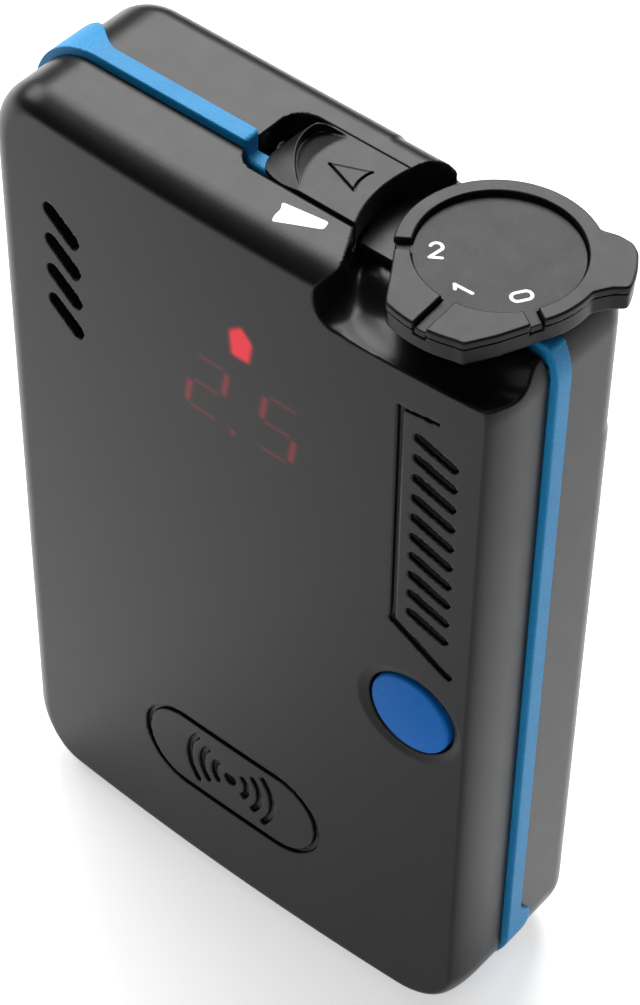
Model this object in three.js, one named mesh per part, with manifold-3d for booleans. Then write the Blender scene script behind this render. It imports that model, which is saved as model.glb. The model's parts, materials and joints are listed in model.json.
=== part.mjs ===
// Hand-held avalanche transceiver: a crowned two-shell case with a blue seal band in the parting
// line, a rotary function knob on the top right corner, a sprung lock slider beside it, a blue
// option button, a dead-front LED display, three ferrite antennas and three AAA cells behind a
// hinged door. Millimetres. X to the right, Y from front to back, Z up. The case stands on its
// bottom end: the origin is the middle of that end, half way between front and back face.
import * as THREE from 'three';
import { mergeVertices } from 'three/addons/utils/BufferGeometryUtils.js';
import Module from 'manifold-3d';

const wasm = await Module();
wasm.setup();

// Case
const WIDTH = 69.8;
const HEIGHT = 111;
const DEPTH = 24.35;
const CROWN = 1.27; // how far the front face bulges in the middle
const CORNER_R = 8.5; // corners, seen from the front
const FRONT_FILLET = 3.95;
const REAR_FILLET = 3.8;
const WALL = 2.2;
const SEAM = 0.05; // gap between pieces that are clamped together
const ABOVE = HEIGHT + 9; // clear of everything, for cuts that run out of the top
const HALF_W = WIDTH / 2;
const FRONT_Y = -DEPTH / 2;
const BACK_Y = DEPTH / 2;

// Seal band, between the two shells
const BAND = { front: -2.0, rear: 0.36, proud: 0.95, depth: 3.2 };
const BUMPER = { topRear: 3.2, bottomRear: 2.4, reach: 7.4 };

// Function knob and the recess it turns in
const KNOB = { x: 24.11, y: 2.94, top: HEIGHT, thick: 3.2, backR: 10.8, lobeR: 13.95 };
const KNOB_UNDER = KNOB.top - KNOB.thick;
const RECESS_R = 15;
const FLOOR_Z = 107.3;
const FRONT_FLOOR_Z = 106.4;
const FLOOR_EDGE_Y = -2.4; // the rear shell's floor reaches this far forward
const SCOOP = { ringR: 15, tubeR: 4, z: 108.9, tableR: 11.9 };
const POINTER_ANGLES = [-145, -87, -32];
const DISC = { r: 8.95, top: 110.5, thick: 0.8, armWidth: 1.6 };
const SHAFT_R = 2;
const SHAFT_BOTTOM = 93.2;
const RUNNING_GAP = 0.05;
const DETENT = { x: KNOB.x - 5.4, y: KNOB.y + 5.2, bottom: 102.8, ballZ: 106.65 };

// Lock slider
const SLIDER = { left: -3.7, front: -3.5, rear: 6.4, under: 109.5 };
const SLIDER_GAP = 0.25;
const POCKET_LEFT = -5.5;
const STUB = { right: -2, top: 109.3 };

// Option button
const BUTTON = { x: 26.25, z: 52.72, r: 5.44, flangeR: 6.3, flangeFront: -8.5, under: -7.7 };

// Speaker slots: four slanted slots, one above the other
const SLOTS = { x: -23.35, z: 89.45, pitch: 4.43, length: 6.1, width: 2, slope: -36.7, count: 4 };

// Circuit board and what stands on it
const BOARD = { front: -3.2, rear: -1.6, inset: 1.3 };
const DISPLAY = { x: 2.4, z: 89, width: 21, height: 24 };
const SPEAKER = { x: -21.6, z: 89.45, r: 9.2 };

// Cells and their bay
const CELL = { r: 5.25, length: 44.5, pitch: 11.3, y: 6.2 };
const BAY = { halfW: 17.4, bottom: 27.9, top: 76, floor: 0.7, wall: 1.2 };
const CONTACT_THICK = 0.3;

// Battery door on the back
const DOOR = { halfW: 21.5, bottom: 17, top: 78.9, inner: 12.3, outer: 13.7, r: 4, edge: 0.7 };
const HINGE = { y: 12.9, z: 80, pinR: 0.5, knuckleR: 1.1, doorHalf: 14.7, earHalf: 19 };
const LATCH = { z: 21.6, headR: 3.6, shankR: 1.5, shankEnd: 9.4 };
const GASKET = { in: 0.6, width: 1.2, front: 11.8 };

// Screws that hold the shells together
const SCREWS = [[-27.5, 9], [27.5, 9], [-27.5, 101], [27.8, 80]];
const SCREW = { shankR: 1.15, headR: 2.3, bossR: 3, headOut: 11.7, headIn: 10.2, tip: -6.5 };

// Antennas: a ferrite rod with a winding along each axis
const ROD_R = 3.5;
const COIL_WALL = 0.7;

const DEG = Math.PI / 180;
const ROUND = 20; // sides of a small round

const COLOURS = {
  shell: [0x1d1d1f, 0.5, 0],
  gloss: [0x101011, 0.25, 0],
  blue: [0x1377c8, 0.6, 0],
  blueCap: [0x0d5fb4, 0.4, 0],
  rubber: [0x202020, 0.8, 0],
  steel: [0xb8b8ba, 0.35, 1],
  brass: [0xc09a4c, 0.4, 1],
  copper: [0xb0602c, 0.45, 1],
  ferrite: [0x303236, 0.7, 0],
  board: [0x12532f, 0.55, 0],
  chip: [0x18181a, 0.6, 0],
  cell: [0x5f6670, 0.4, 0.6],
  lens: [0x2a0b0d, 0.2, 0],
};

// ---- Solids ---------------------------------------------------------------------------------

// A closed three.js geometry as a manifold solid with its faces pointing out.
function solid(geometry) {
  const bare = geometry.clone();
  for (const name of Object.keys(bare.attributes)) {
    if (name !== 'position') bare.deleteAttribute(name);
  }
  const merged = mergeVertices(bare, 1e-4);
  const points = merged.attributes.position.array;
  const index = merged.index.array;
  const kept = [];
  let volume = 0;
  const [a, b, c] = [new THREE.Vector3(), new THREE.Vector3(), new THREE.Vector3()];
  for (let i = 0; i < index.length; i += 3) {
    const [p, q, r] = [index[i], index[i + 1], index[i + 2]];
    if (p === q || q === r || r === p) continue;
    kept.push([p, q, r]);
    volume += a.fromArray(points, 3 * p).dot(b.fromArray(points, 3 * q).cross(c.fromArray(points, 3 * r)));
  }
  const triangles = volume < 0 ? kept.map(([p, q, r]) => [p, r, q]) : kept;
  return new wasm.Manifold(new wasm.Mesh({
    numProp: 3,
    vertProperties: new Float32Array(points),
    triVerts: new Uint32Array(triangles.flat()),
  }));
}

function geometryOf(body) {
  const mesh = body.getMesh();
  const geometry = new THREE.BufferGeometry();
  geometry.setAttribute('position', new THREE.BufferAttribute(new Float32Array(mesh.vertProperties), 3));
  geometry.setIndex(Array.from(mesh.triVerts));
  geometry.computeVertexNormals();
  return geometry;
}

const join = (first, ...rest) => rest.reduce((sum, next) => sum.add(next), first);
const cut = (first, ...rest) => rest.reduce((left, next) => left.subtract(next), first);

function box(x0, x1, y0, y1, z0, z1) {
  const geometry = new THREE.BoxGeometry(x1 - x0, y1 - y0, z1 - z0);
  return solid(geometry.translate((x0 + x1) / 2, (y0 + y1) / 2, (z0 + z1) / 2));
}

// Extrusions of a shape drawn in XY, in XZ and in YZ.
function extrudeZ(shape, z0, z1, bevel = 0) {
  return solid(extrusion(shape, z1 - z0, bevel).translate(0, 0, z0));
}

function extrudeY(shape, y0, y1, bevel = 0) {
  return solid(extrusion(shape, y1 - y0, bevel).rotateX(Math.PI / 2).translate(0, y1, 0));
}

function extrudeX(shape, x0, x1) {
  const turn = new THREE.Matrix4().set(0, 0, 1, 0, 1, 0, 0, 0, 0, 1, 0, 0, 0, 0, 0, 1);
  return solid(extrusion(shape, x1 - x0, 0).applyMatrix4(turn).translate(x0, 0, 0));
}

// A straight extrusion; bevel rounds both rims and stays inside the drawn outline.
function extrusion(shape, length, bevel) {
  const geometry = new THREE.ExtrudeGeometry(shape, {
    depth: length - 2 * bevel,
    bevelEnabled: bevel > 0,
    bevelSize: bevel,
    bevelOffset: -bevel,
    bevelThickness: bevel,
    bevelSegments: 1,
    curveSegments: 7,
  });
  return geometry.translate(0, 0, bevel);
}

function rod(axis, centre, radius, from, to, sides = ROUND) {
  const geometry = new THREE.CylinderGeometry(radius, radius, to - from, sides);
  const middle = (from + to) / 2;
  if (axis === 'x') geometry.rotateZ(Math.PI / 2).translate(middle, centre[0], centre[1]);
  if (axis === 'y') geometry.translate(centre[0], middle, centre[1]);
  if (axis === 'z') geometry.rotateX(Math.PI / 2).translate(centre[0], centre[1], middle);
  return solid(geometry);
}

function tube(axis, centre, inner, outer, from, to, sides = ROUND) {
  return cut(rod(axis, centre, outer, from, to, sides), rod(axis, centre, inner, from - 1, to + 1, sides));
}

// A body of revolution about a vertical axis, from [radius, height] points.
function turned(points, x, y, sides = 48) {
  const profile = points.map(([radius, height]) => new THREE.Vector2(radius, height));
  return solid(new THREE.LatheGeometry(profile, sides).rotateX(Math.PI / 2).translate(x, y, 0));
}

function rounded(x0, x1, y0, y1, radius) {
  const shape = new THREE.Shape();
  shape.absarc(x1 - radius, y1 - radius, radius, 0, 90 * DEG);
  shape.absarc(x0 + radius, y1 - radius, radius, 90 * DEG, 180 * DEG);
  shape.absarc(x0 + radius, y0 + radius, radius, 180 * DEG, 270 * DEG);
  shape.absarc(x1 - radius, y0 + radius, radius, 270 * DEG, 360 * DEG);
  return shape;
}

// ---- Case -----------------------------------------------------------------------------------

const frontFace = (x, inset = 0) => FRONT_Y + inset + CROWN * (x / HALF_W) ** 2;

// One ring of the case outline, moved in by an offset: the top from left to right, then the
// bottom from right to left, with each bottom point straight below its top point.
function outlineRing(inset, offset) {
  const arcSteps = 4;
  const flatSteps = 6;
  const reach = HALF_W - CORNER_R;
  const radius = CORNER_R - inset - offset;
  const centreZ = HEIGHT - CORNER_R;
  const top = [];
  for (let i = 0; i <= arcSteps; i += 1) {
    const angle = Math.PI - (i / arcSteps) * (Math.PI / 2);
    top.push([-reach + radius * Math.cos(angle), centreZ + radius * Math.sin(angle)]);
  }
  for (let i = 1; i < flatSteps; i += 1) {
    top.push([-reach + (2 * reach * i) / flatSteps, centreZ + radius]);
  }
  const right = top.slice(0, arcSteps + 1).map(([x, z]) => [-x, z]).reverse();
  top.push(...right);
  return [...top, ...top.map(([x, z]) => [x, HEIGHT - z]).reverse()];
}

// The closed, crowned block of the case, moved in on every side by an inset.
function caseBlock(inset) {
  const steps = 3;
  const rings = [];
  for (let i = 0; i <= steps; i += 1) {
    const angle = (i / steps) * (Math.PI / 2);
    const radius = FRONT_FILLET - inset * 0.6;
    const offset = radius * (1 - Math.sin(angle));
    const behind = radius * (1 - Math.cos(angle));
    rings.push(outlineRing(inset, offset).map(([x, z]) => [x, frontFace(x, inset) + behind, z]));
  }
  for (let i = steps; i >= 0; i -= 1) {
    const angle = (i / steps) * (Math.PI / 2);
    const radius = REAR_FILLET - inset * 0.6;
    const offset = radius * (1 - Math.sin(angle));
    const y = BACK_Y - inset - radius * (1 - Math.cos(angle));
    rings.push(outlineRing(inset, offset).map(([x, z]) => [x, y, z]));
  }
  const count = rings[0].length;
  const index = [];
  for (let ring = 0; ring < rings.length - 1; ring += 1) {
    for (let i = 0; i < count; i += 1) {
      const [a, b] = [ring * count + i, ring * count + ((i + 1) % count)];
      index.push(a, b, b + count, a, b + count, a + count);
    }
  }
  const last = (rings.length - 1) * count;
  for (let i = 0; i < count / 2 - 1; i += 1) {
    const [a, b, c, d] = [i, i + 1, count - 2 - i, count - 1 - i];
    index.push(a, c, b, a, d, c, last + a, last + b, last + c, last + a, last + c, last + d);
  }
  const geometry = new THREE.BufferGeometry();
  geometry.setAttribute('position', new THREE.Float32BufferAttribute(rings.flat(2), 3));
  geometry.setIndex(index);
  return solid(geometry);
}

const BIG = 80; // beyond the case on every side
const infront = (y) => box(-BIG, BIG, -BIG, y, -BIG, 2 * BIG);
const behind = (y) => box(-BIG, BIG, y, BIG, -BIG, 2 * BIG);

// The round recess that the knob turns in, open to the right, the front and the back.
const knobRecess = (floor, grow = 0) => rod('z', [KNOB.x, KNOB.y], RECESS_R + grow, floor - grow, ABOVE, 48);

// The thumb scoop under the front of the knob: a ring-shaped trough round the knob axis, which
// runs out through the front face as a rounded pocket.
function thumbScoop(grow = 0) {
  const { ringR, tubeR, z, tableR } = SCOOP;
  const profile = [[0, FRONT_FLOOR_Z - grow], [tableR - grow, FRONT_FLOOR_Z - grow]];
  const start = Math.acos((tableR - ringR) / tubeR);
  const steps = 5;
  for (let i = 0; i <= steps; i += 1) {
    const angle = start + ((Math.PI / 2 - start) * i) / steps;
    const radius = tubeR + grow;
    profile.push([ringR + radius * Math.cos(angle), z - radius * Math.sin(angle)]);
  }
  profile.push([ringR + grow, ABOVE], [0, ABOVE]);
  const trough = turned(profile, KNOB.x, KNOB.y, 48);
  const mouthLeft = 12.2;
  const mouthBottom = 104.6;
  const mouthTop = 110.6;
  const mouthInner = -7.6;
  const mouth = rounded(mouthLeft - grow, 60, mouthBottom - grow, mouthTop + grow, 2.9);
  return join(trough, extrudeY(mouth, -20, mouthInner + grow, 1.6)).intersect(infront(FLOOR_EDGE_Y + grow));
}

// The pocket that the lock slider runs in, beside the knob recess.
function sliderPocket(grow = 0) {
  const gap = SLIDER_GAP + grow;
  const shape = rounded(POCKET_LEFT - grow, KNOB.x - 6, SLIDER.front - gap, SLIDER.rear + gap, 2.6);
  return extrudeZ(shape, FLOOR_Z - grow, ABOVE);
}

// The case with its recesses, and the room inside it.
function caseShell() {
  const recesses = join(knobRecess(FLOOR_Z).intersect(behind(FLOOR_EDGE_Y)), thumbScoop(), sliderPocket());
  const walls = join(
    knobRecess(FLOOR_Z, WALL).intersect(behind(FLOOR_EDGE_Y - WALL)),
    thumbScoop(WALL),
    sliderPocket(WALL),
  );
  const room = cut(caseBlock(WALL), walls);
  return cut(caseBlock(0), recesses, room);
}

// ---- Shells ---------------------------------------------------------------------------------

function slots() {
  const half = SLOTS.length / 2 - SLOTS.width / 2;
  const r = SLOTS.width / 2;
  const parts = [];
  for (let i = 0; i < SLOTS.count; i += 1) {
    const shape = new THREE.Shape();
    shape.absarc(half, 0, r, -90 * DEG, 90 * DEG);
    shape.absarc(-half, 0, r, 90 * DEG, 270 * DEG);
    const z = SLOTS.z + (i - (SLOTS.count - 1) / 2) * SLOTS.pitch;
    const geometry = new THREE.ExtrudeGeometry(shape, { depth: 8, bevelEnabled: false, curveSegments: 6 });
    geometry.rotateZ(SLOTS.slope * DEG).rotateX(Math.PI / 2).translate(SLOTS.x, -6, z);
    parts.push(solid(geometry));
  }
  return join(...parts);
}

function frontHousing(shell) {
  const bosses = SCREWS.map(([x, z]) => rod('y', [x, z], SCREW.bossR - 0.3, -10.2, BAND.front - 0.4));
  const holes = SCREWS.map(([x, z]) => rod('y', [x, z], SCREW.shankR + 0.1, SCREW.tip - 1, 0));
  const { x, z, width, height } = DISPLAY;
  const thinned = box(x - width / 2, x + width / 2, -11.1, -8, z - height / 2, z + height / 2);
  const knobLip = knobRecess(FLOOR_Z - 2.1).intersect(behind(FLOOR_EDGE_Y - SEAM));
  const front = join(shell.intersect(infront(BAND.front - SEAM)), ...bosses);
  const buttonHole = join(
    rod('y', [BUTTON.x, BUTTON.z], BUTTON.r + 0.3, -15, -5, 40),
    rod('y', [BUTTON.x, BUTTON.z], BUTTON.flangeR + 0.4, -9.2, -5, 40),
  );
  return cut(front, ...holes, thinned, slots(), buttonHole, knobLip);
}

// Walls of the cell bay and the thick bar behind the door hinge.
function bayWalls() {
  const { halfW, bottom, top, floor, wall } = BAY;
  const outer = box(-halfW - wall, halfW + wall, floor - wall, BACK_Y - 1, bottom - wall, top + wall);
  const frame = box(-DOOR.halfW + 1, DOOR.halfW - 1, BACK_Y - WALL - 1.6, BACK_Y - 1, 24.5, 82);
  return join(outer, frame);
}

function rearHousing(shell) {
  const { halfW, bottom, top, floor } = BAY;
  const bosses = SCREWS.map(([x, z]) => rod('y', [x, z], SCREW.bossR, BAND.rear + 0.4, BACK_Y - 1));
  const latchBoss = rod('y', [0, LATCH.z], 3.1, 8.6, BACK_Y - 1);
  const detentBoss = rod('z', [DETENT.x, DETENT.y], 2.3, 102.2, FLOOR_Z - 1);
  const lip = box(6, 31, FLOOR_EDGE_Y, 1, FLOOR_Z - 1.8, FLOOR_Z).intersect(knobRecess(100));
  const body = join(
    shell.intersect(behind(BAND.rear + SEAM)),
    lip,
    bayWalls(),
    latchBoss,
    detentBoss,
    ...bosses,
    rod('x', [HINGE.y, HINGE.z], HINGE.knuckleR, -HINGE.earHalf, HINGE.earHalf, 20),
    box(-HINGE.earHalf, HINGE.earHalf, 11.5, HINGE.y, HINGE.z - 0.6, HINGE.z + HINGE.knuckleR),
  );
  const gasketGroove = cut(gasketBlock(0.05), gasketBlock(-GASKET.width - 0.05));
  return cut(
    body,
    box(-halfW, halfW, floor, 20, bottom, top),
    gasketGroove,
    rod('y', [0, LATCH.z], LATCH.shankR + 0.4, 9, 20),
    rod('x', [HINGE.y, HINGE.z], HINGE.knuckleR + 0.25, -HINGE.doorHalf - 0.2, HINGE.doorHalf + 0.2, 20),
    box(-HINGE.doorHalf - 0.2, HINGE.doorHalf + 0.2, BACK_Y + 0.01, 20, 78, HINGE.z + 2),
    rod('x', [HINGE.y, HINGE.z], HINGE.pinR + SEAM, -HINGE.earHalf + 0.8, HINGE.earHalf + 1, 20),
    rod('z', [KNOB.x, KNOB.y], SHAFT_R + RUNNING_GAP, 100, ABOVE),
    rod('z', [KNOB.x, KNOB.y], 3.2, FLOOR_Z - 1.3, ABOVE),
    rod('z', [DETENT.x, DETENT.y], 1.1, DETENT.bottom, ABOVE, 20),
    ...SCREWS.map(([x, z]) => rod('y', [x, z], SCREW.shankR + 0.1, 0, 20)),
    ...SCREWS.map(([x, z]) => rod('y', [x, z], SCREW.headR + 0.2, SCREW.headIn - SEAM, 20)),
  );
}

function gasketBlock(grow) {
  const { halfW, bottom, top } = BAY;
  const out = GASKET.in + GASKET.width + grow;
  const shape = rounded(-halfW - out, halfW + out, bottom - out, top + out, 2);
  return extrudeY(shape, GASKET.front - 0.05, 20);
}

// The band follows the case outline in the parting plane. It stands proud along the top left, the
// left side and the right side, and lies flush under the case and below the knob recess.
function sealBand(block) {
  const { front, rear, proud, depth } = BAND;
  const outline = (out, z0) => rounded(-HALF_W - out, HALF_W + out, z0, HEIGHT + out, CORNER_R + out);
  const proudRing = cut(
    extrudeY(outline(proud, -proud), front, rear),
    box(-BIG, BIG, -BIG, BIG, -BIG, 0),
  );
  const bumperTop = extrudeY(outline(proud, -proud), front, BUMPER.topRear).intersect(
    box(-BIG, -HALF_W + BUMPER.reach, -BIG, BIG, HEIGHT - 2.2 * BUMPER.reach, BIG * 2),
  );
  const bumperBottom = extrudeY(outline(proud, -proud), front, BUMPER.bottomRear).intersect(
    box(HALF_W - BUMPER.reach, BIG, -BIG, BIG, 0, 12.4),
  );
  const bumpers = cut(join(bumperTop, bumperBottom), block);
  const core = extrudeY(outline(-depth, depth), front - 1, rear + 1);
  const stubLow = box(POCKET_LEFT, STUB.right, -BIG, BIG, STUB.top, ABOVE);
  const { x } = KNOB;
  const under = [
    box(STUB.right, x, -BIG, BIG, FLOOR_Z - 3.4, ABOVE),
    box(x - 1, 31, -BIG, BIG, FLOOR_Z - 3.4, ABOVE),
    box(30.9, BIG, -BIG, BIG, FLOOR_Z, ABOVE),
    thumbScoop(0.35),
  ];
  const dip = box(STUB.right - 2.4, HALF_W - 2, front, rear, FLOOR_Z - 5.6, FLOOR_Z - 3.4);
  const ring = cut(cut(proudRing, core), stubLow, ...under);
  const bottomFlush = box(-HALF_W + CORNER_R, HALF_W - CORNER_R, front, rear, 0, depth);
  return join(ring, dip.intersect(block), bottomFlush, bumpers);
}

// ---- Knob -----------------------------------------------------------------------------------

// A point at a radius and an angle about the knob axis.
function polar(radius, degrees) {
  const angle = degrees * DEG;
  return [KNOB.x + radius * Math.cos(angle), KNOB.y + radius * Math.sin(angle)];
}

// Round back, a flat-sided lobe to the front and a thumb tab to the right.
function knobOutline() {
  const shape = new THREE.Shape();
  const arc = (radius, from, to) => shape.absarc(KNOB.x, KNOB.y, radius, from * DEG, to * DEG);
  const neck = (via, end) => shape.quadraticCurveTo(...polar(...via), ...polar(...end));
  arc(KNOB.backR, 57.3, 215);
  shape.lineTo(...polar(13.6, 251.7));
  arc(KNOB.lobeR, 253, 292);
  shape.lineTo(...polar(11.05, 324.5));
  arc(KNOB.backR, 326, 368);
  neck([11.2, 372], [12.4, 374.3]);
  neck([13.4, 376], [13.9, 378]);
  arc(KNOB.lobeR, 379, 403);
  neck([13.7, 406], [12.4, 411.7]);
  neck([11.2, 416], [KNOB.backR, 417.3]);
  return shape;
}

function labelStar(radius, width, z0, z1) {
  const arms = POINTER_ANGLES.map((angle) => {
    const arm = new THREE.BoxGeometry(20, width, z1 - z0).translate(10, 0, (z0 + z1) / 2);
    return solid(arm.rotateZ(angle * DEG).translate(KNOB.x, KNOB.y, 0));
  });
  return join(rod('z', [KNOB.x, KNOB.y], radius, z0, z1, 40), ...arms);
}

function functionKnob() {
  const plate = extrudeZ(knobOutline(), KNOB_UNDER, KNOB.top, 0.35);
  return cut(
    plate,
    labelStar(DISC.r + SEAM, DISC.armWidth + 0.1, DISC.top - DISC.thick - SEAM, KNOB.top + 1),
    rod('z', [KNOB.x, KNOB.y], 3, 108.85, ABOVE),
    rod('z', [KNOB.x, KNOB.y], 1.35, 100, ABOVE),
  );
}

const labelDisc = () => labelStar(DISC.r, DISC.armWidth, DISC.top - DISC.thick, DISC.top)
  .intersect(extrudeZ(knobOutline(), 100, 112, 0.36));

function knobShaft() {
  const top = KNOB_UNDER - SEAM;
  const profile = [[0, SHAFT_BOTTOM], [SHAFT_R, SHAFT_BOTTOM], [SHAFT_R, top], [0, top]];
  const threadHole = rod('z', [KNOB.x, KNOB.y], 1.25, 102, ABOVE);
  return cut(turned(profile, KNOB.x, KNOB.y, 32), threadHole);
}

// Pan head screw along an axis, from the head's outer face to the tip.
function screw(axis, centre, headR, shankR, head, neck, tip) {
  const shank = rod(axis, centre, shankR, Math.min(neck, tip), Math.max(neck, tip), 16);
  const cap = rod(axis, centre, headR, Math.min(head, neck), Math.max(head, neck), 20);
  const depth = (head - neck) * 0.6;
  const slot = (wide, high) => (axis === 'z'
    ? box(centre[0] - wide, centre[0] + wide, centre[1] - high, centre[1] + high, head - depth, head + 1)
    : box(centre[0] - wide, centre[0] + wide, head - depth, head + 1, centre[1] - high, centre[1] + high));
  return cut(join(cap, shank), slot(headR * 0.6, 0.3), slot(0.3, headR * 0.6));
}

// A coil spring along an axis: a round wire wound from radius r0 to radius r1.
function coil(origin, direction, length, r0, r1, wire, turns) {
  const perTurn = 8;
  const steps = Math.round(turns * perTurn);
  const points = [];
  for (let i = 0; i <= steps; i += 1) {
    const angle = (i / perTurn) * 2 * Math.PI;
    const radius = r0 + ((r1 - r0) * i) / steps;
    const along = wire + ((length - 2 * wire) * i) / steps;
    points.push(new THREE.Vector3(radius * Math.cos(angle), radius * Math.sin(angle), along));
  }
  const turn = new THREE.Quaternion().setFromUnitVectors(new THREE.Vector3(0, 0, 1), direction);
  const placed = points.map((point) => point.applyQuaternion(turn).add(origin));
  const section = new THREE.Shape();
  section.absarc(0, 0, wire, 0, 2 * Math.PI);
  return solid(new THREE.ExtrudeGeometry(section, {
    steps,
    curveSegments: 2,
    extrudePath: new THREE.CatmullRomCurve3(placed),
  }));
}

// ---- Lock slider ----------------------------------------------------------------------------

// A plate flush with the case top, with a scooped thumb hollow near its rounded left end. The
// right end is hollowed for the knob, and a tooth under the plate runs in the pocket.
function lockSlider() {
  const { left, front, rear, under } = SLIDER;
  const plan = new THREE.Shape();
  plan.moveTo(left + 3.1, front);
  plan.lineTo(KNOB.x, front);
  plan.lineTo(KNOB.x, rear);
  plan.lineTo(left + 2.2, rear);
  plan.quadraticCurveTo(left, rear - 0.1, left, rear - 2.6);
  plan.quadraticCurveTo(left, front + 3, left + 3.1, front);
  const plate = extrudeZ(plan, under, HEIGHT);
  const tooth = box(4.4, 7.4, 0.6, 4.4, 107.6, under + 0.2);
  const hollow = new THREE.SphereGeometry(1, 20, 12).scale(2.1, 5.4, 1.2);
  hollow.rotateZ(24 * DEG).translate(0.2, 2.1, HEIGHT + 0.05);
  return cut(join(plate, tooth), solid(hollow), knobRecess(100));
}

// ---- Small assemblies -----------------------------------------------------------------------

function optionButton() {
  const { x, z, r, flangeR, flangeFront, under } = BUTTON;
  const rim = frontFace(x) + 0.1;
  const plungerR = 1.5;
  const plungerEnd = under + 0.65;
  const steps = 4;
  const profile = [
    [0, plungerEnd],
    [plungerR, plungerEnd],
    [plungerR, under],
    [flangeR, under],
    [flangeR, flangeFront],
    [r, flangeFront],
    [r, rim + 0.5],
  ];
  for (let i = 1; i <= steps; i += 1) {
    const radius = (r - 0.4) * (1 - i / steps);
    profile.push([radius, rim - 0.35 * (1 - (radius / r) ** 2)]);
  }
  const points = profile.map(([radius, y]) => new THREE.Vector2(radius, y));
  return solid(new THREE.LatheGeometry(points, 28).translate(x, 0, z));
}

function mainBoard() {
  const edge = WALL + BOARD.inset;
  const outline = rounded(-HALF_W + edge, HALF_W - edge, edge, 101, 5);
  return cut(
    extrudeY(outline, BOARD.front, BOARD.rear),
    ...SCREWS.map(([x, z]) => rod('y', [x, z], SCREW.bossR + 0.3, -10, 10, 20)),
  );
}

function displayModule() {
  const { x, z, width, height } = DISPLAY;
  const w = width / 2 - 1;
  const h = height / 2 - 1;
  return box(x - w, x + w, -8.6, BOARD.front - SEAM, z - h, z + h);
}

const displayWindow = () => {
  const { x, z, width, height } = DISPLAY;
  const w = width / 2 - 0.3;
  const h = height / 2 - 0.3;
  return box(x - w, x + w, -10.8, -8.8, z - h, z + h);
};

function speaker() {
  const { x, z, r } = SPEAKER;
  return join(
    rod('y', [x, z], r, -6.4, BOARD.front - SEAM, 40),
    rod('y', [x, z], r - 1, -8.1, -6.4, 40),
  );
}

function cell(x, up) {
  const { r, length, y } = CELL;
  const z0 = BAY.bottom + CONTACT_THICK + (up ? 2.9 : 0.25);
  const nub = { r: 1.9, high: 1 };
  const edge = 0.4;
  const shoulder = length - nub.high;
  const profile = [
    [0, 0],
    [r - edge, 0],
    [r, edge],
    [r, shoulder - edge],
    [r - edge, shoulder],
    [nub.r, shoulder],
    [nub.r, length],
    [0, length],
  ];
  const points = profile.map(([radius, h]) => [radius, up ? z0 + h : z0 + length - h]);
  return turned(points, x, y, 20);
}

const antenna = (name, axis, centre, radius, from, to, gap) => [
  [`${name}_rod`, rod(axis, centre, radius, from, to), 'ferrite'],
  [`${name}_winding`, tube(axis, centre, radius + SEAM, radius + COIL_WALL, from + gap, to - gap), 'copper'],
];

function batteryDoor() {
  const { halfW, bottom, top, inner, outer, r, edge } = DOOR;
  const plate = extrudeY(rounded(-halfW, halfW, bottom, top, r), inner, outer + edge, edge)
    .intersect(infront(outer));
  const { y, z, knuckleR, doorHalf, pinR } = HINGE;
  const web = box(-doorHalf, doorHalf, inner, outer - 0.1, top - 1, z);
  return cut(
    join(plate, web, rod('x', [y, z], knuckleR, -doorHalf, doorHalf, 20)),
    rod('x', [y, z], pinR + 0.1, -20, 20, 20),
    rod('y', [0, LATCH.z], LATCH.headR + 0.1, outer - 0.85, 20, 36),
    rod('y', [0, LATCH.z], LATCH.shankR + 0.1, 5, 20),
  );
}

function doorLatch() {
  const head = rod('y', [0, LATCH.z], LATCH.headR, DOOR.outer - 0.8, DOOR.outer, 36);
  const shank = rod('y', [0, LATCH.z], LATCH.shankR, LATCH.shankEnd, DOOR.outer - 0.7);
  return cut(join(head, shank), box(-2.7, 2.7, DOOR.outer - 0.5, 20, LATCH.z - 0.6, LATCH.z + 0.6));
}

function doorGasket() {
  const ring = cut(gasketBlock(0), gasketBlock(-GASKET.width));
  return ring.intersect(box(-BIG, BIG, GASKET.front, DOOR.inner - SEAM, 0, BIG * 2));
}

function tactSwitch() {
  const { x, z } = BUTTON;
  const base = box(x - 3, x + 3, -5.8, BOARD.front - SEAM, z - 3, z + 3);
  return join(base, rod('y', [x, z], 1.6, -6.25, -5.5, 20));
}

function rotarySwitch() {
  const { x, y } = KNOB;
  const body = box(x - 6.6, x + 6.6, -1.2, 9.4, 92, 101.6);
  return cut(body, rod('z', [x, y], SHAFT_R + RUNNING_GAP, 93, ABOVE));
}

// ---- Assembly -------------------------------------------------------------------------------

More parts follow.
